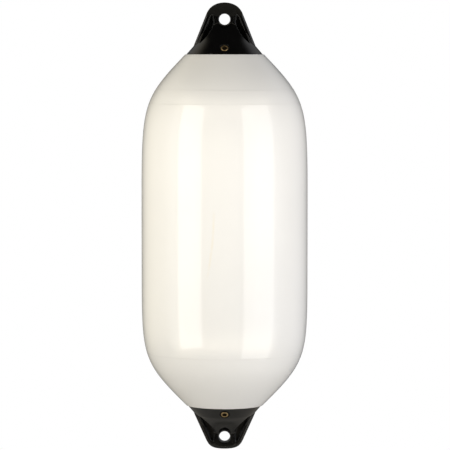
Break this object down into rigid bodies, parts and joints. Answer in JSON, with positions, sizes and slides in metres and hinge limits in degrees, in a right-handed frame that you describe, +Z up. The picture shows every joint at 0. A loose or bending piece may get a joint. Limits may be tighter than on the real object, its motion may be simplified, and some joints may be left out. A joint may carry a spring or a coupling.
{
  "type": "boat fender",
  "caption": "Long inflatable boat fender with a smooth white shell, a moulded black rope eye at each end and a brass air valve in each collar.",
  "frame": {"origin": "centre of the top eye's rope hole, which the mooring line holds", "axes": "+Z up along the fender's axis, towards the top eye; both rope holes run along Y and both valves face -Y"},
  "size_m": [0.446, 0.446, 1.2005],
  "materials": {
    "shell_vinyl": "glossy warm white vinyl",
    "eye_plastic": "satin black moulded vinyl",
    "valve_brass": "turned brass, slightly dull",
    "seal_rubber": "matt black rubber"
  },
  "bodies": {
    "root": {"body_shell": "shell_vinyl", "top_rope_eye": "eye_plastic", "top_valve_bush": "valve_brass", "top_valve_screw": "valve_brass", "top_valve_seal": "seal_rubber", "bottom_rope_eye": "eye_plastic", "bottom_valve_bush": "valve_brass", "bottom_valve_screw": "valve_brass", "bottom_valve_seal": "seal_rubber"}
  },
  "joints": []
}
